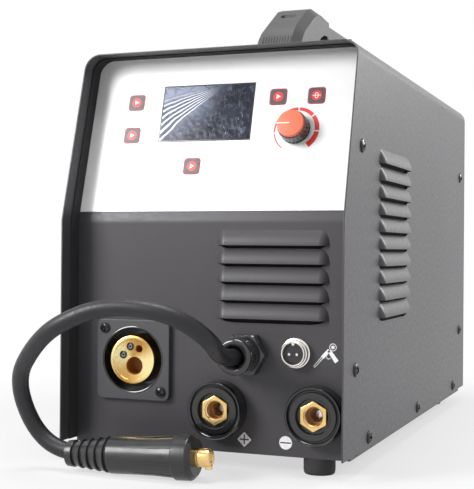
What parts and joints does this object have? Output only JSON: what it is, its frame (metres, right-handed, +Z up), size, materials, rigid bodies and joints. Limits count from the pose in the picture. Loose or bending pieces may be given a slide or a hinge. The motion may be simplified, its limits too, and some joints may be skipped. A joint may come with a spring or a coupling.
{
  "type": "mig welding machine",
  "caption": "Portable wire-feed welding machine: sheet metal case with a sloped control panel, round current sockets, torch connector, carry handle, side spool door and a loose cable with plug.",
  "frame": {"origin": "on the floor under the middle of the case: mid width and mid depth of the cover", "axes": "+X to the operator's right when facing the front panel, +Y from the front panel to the back, +Z up"},
  "size_m": [0.2364, 0.5669, 0.3773],
  "materials": {
    "case_powder": "fine textured powder coat",
    "zinc_plate": "zinc plated",
    "foot_rubber": "matt",
    "black_screw": "black oxide",
    "bright_screw": "zinc plated",
    "handle_plastic": "moulded",
    "overlay_white": "glossy film",
    "display_dark": "glossy film over a dark display",
    "key_red": "glossy",
    "board_green": "solder mask",
    "knob_grey": "fluted",
    "knob_red": "satin",
    "connector_grey": "moulded",
    "brass": "turned",
    "contact_black": "moulded",
    "connector_black": "glossy",
    "nickel": "nickel plated",
    "cable_rubber": "satin",
    "spool_plastic": "moulded",
    "copper_wire": "copper coated steel wire",
    "zinc_steel": "turned",
    "motor_metal": "satin",
    "feeder_plastic": "moulded",
    "tension_red": "moulded",
    "aluminium_fins": "extruded",
    "core_iron": "varnished",
    "fan_plastic": "moulded",
    "switch_plastic": "glossy",
    "rocker_red": "glossy"
  },
  "bodies": {
    "root": {"base_tray": "case_powder", "front_panel": "case_powder", "control_panel": "case_powder", "panel_flange_left": "case_powder", "panel_flange_right": "case_powder", "rear_panel": "case_powder", "cover_shell": "case_powder", "centre_divider": "zinc_plate", "rubber_feet": "foot_rubber", "cover_screws": "black_screw", "euro_screws": "black_screw", "door_hinges": "black_screw", "handle_screws": "bright_screw", "carry_handle": "handle_plastic", "control_overlay": "overlay_white", "display_window": "display_dark", "control_board": "board_green", "inverter_board": "board_green", "euro_housing": "connector_grey", "euro_brass": "brass", "socket_plus_brass": "brass", "socket_minus_brass": "brass", "plug_pin": "brass", "gas_inlet": "brass", "euro_contacts": "contact_black", "control_socket_insert": "contact_black", "socket_plus_housing": "connector_black", "socket_minus_housing": "connector_black", "cable_gland_body": "connector_black", "cable_gland_cap": "connector_black", "mains_gland_body": "connector_black", "mains_gland_cap": "connector_black", "plug_body": "connector_black", "control_socket": "nickel", "polarity_cable": "cable_rubber", "hub_axle": "zinc_steel", "wire_feed_motor": "motor_metal", "feed_plate": "feeder_plastic", "heatsink": "aluminium_fins", "transformer": "core_iron", "fan_frame": "fan_plastic", "power_switch": "switch_plastic"},
    "door": {"spool_door": "case_powder"},
    "latch": {"door_latch": "handle_plastic"},
    "knob": {"knob_body": "knob_grey", "knob_cap": "knob_red"},
    "key_1": {"key_1": "key_red"},
    "key_2": {"key_2": "key_red"},
    "key_3": {"key_3": "key_red"},
    "key_4": {"key_4": "key_red"},
    "key_5": {"key_5": "key_red"},
    "drive": {"drive_roll": "zinc_steel"},
    "arm": {"pressure_arm": "feeder_plastic"},
    "idler": {"idler_roll": "zinc_steel"},
    "tension": {"tension_knob": "tension_red"},
    "spool": {"wire_spool": "spool_plastic", "wire_winding": "copper_wire", "spool_hub": "spool_plastic"},
    "fan": {"fan_rotor": "fan_plastic"},
    "rocker": {"switch_rocker": "rocker_red"}
  },
  "joints": [
    {"name": "door_hinge", "type": "hinge", "parent": "root", "child": "door", "pos_m": [-0.1133, 0.19, 0.165], "axis": [0, 0, -1], "range_deg": [0, 110]},
    {"name": "latch_turn", "type": "hinge", "parent": "door", "child": "latch", "pos_m": [-0.11, -0.152, 0.165], "axis": [1, 0, 0], "range_deg": [0, 90]},
    {"name": "knob_turn", "type": "hinge", "parent": "root", "child": "knob", "pos_m": [0.0608, -0.19527, 0.2474], "axis": [0, -0.9622, 0.2723], "range_deg": [-240, 60]},
    {"name": "key_1_press", "type": "slide", "parent": "root", "child": "key_1", "axis": [0, 0.9622, -0.2723], "range_m": [0, 0.0006], "stiffness_N_per_m": 300},
    {"name": "key_2_press", "type": "slide", "parent": "root", "child": "key_2", "axis": [0, 0.9622, -0.2723], "range_m": [0, 0.0006], "stiffness_N_per_m": 300},
    {"name": "key_3_press", "type": "slide", "parent": "root", "child": "key_3", "axis": [0, 0.9622, -0.2723], "range_m": [0, 0.0006], "stiffness_N_per_m": 300},
    {"name": "key_4_press", "type": "slide", "parent": "root", "child": "key_4", "axis": [0, 0.9622, -0.2723], "range_m": [0, 0.0006], "stiffness_N_per_m": 300},
    {"name": "key_5_press", "type": "slide", "parent": "root", "child": "key_5", "axis": [0, 0.9622, -0.2723], "range_m": [0, 0.0006], "stiffness_N_per_m": 300},
    {"name": "arm_lift", "type": "hinge", "parent": "root", "child": "arm", "pos_m": [-0.05, -0.18, 0.094], "axis": [1, 0, 0], "range_deg": [0, 60]},
    {"name": "drive_spin", "type": "hinge", "parent": "root", "child": "drive", "pos_m": [-0.0575, -0.15, 0.0566], "axis": [1, 0, 0], "continuous": true},
    {"name": "idler_spin", "type": "hinge", "parent": "arm", "child": "idler", "pos_m": [-0.0575, -0.15, 0.0844], "axis": [1, 0, 0], "continuous": true},
    {"name": "tension_turn", "type": "hinge", "parent": "arm", "child": "tension", "pos_m": [-0.0575, -0.126, 0.11], "axis": [0, 0, 1], "range_deg": [0, 720]},
    {"name": "spool_spin", "type": "hinge", "parent": "root", "child": "spool", "pos_m": [-0.062, 0.1, 0.165], "axis": [1, 0, 0], "continuous": true},
    {"name": "fan_spin", "type": "hinge", "parent": "root", "child": "fan", "pos_m": [0.048, 0.2, 0.092], "axis": [0, 1, 0], "continuous": true},
    {"name": "rocker_tilt", "type": "hinge", "parent": "root", "child": "rocker", "pos_m": [-0.052, 0.213, 0.24], "axis": [1, 0, 0], "range_deg": [0, 20]}
  ]
}
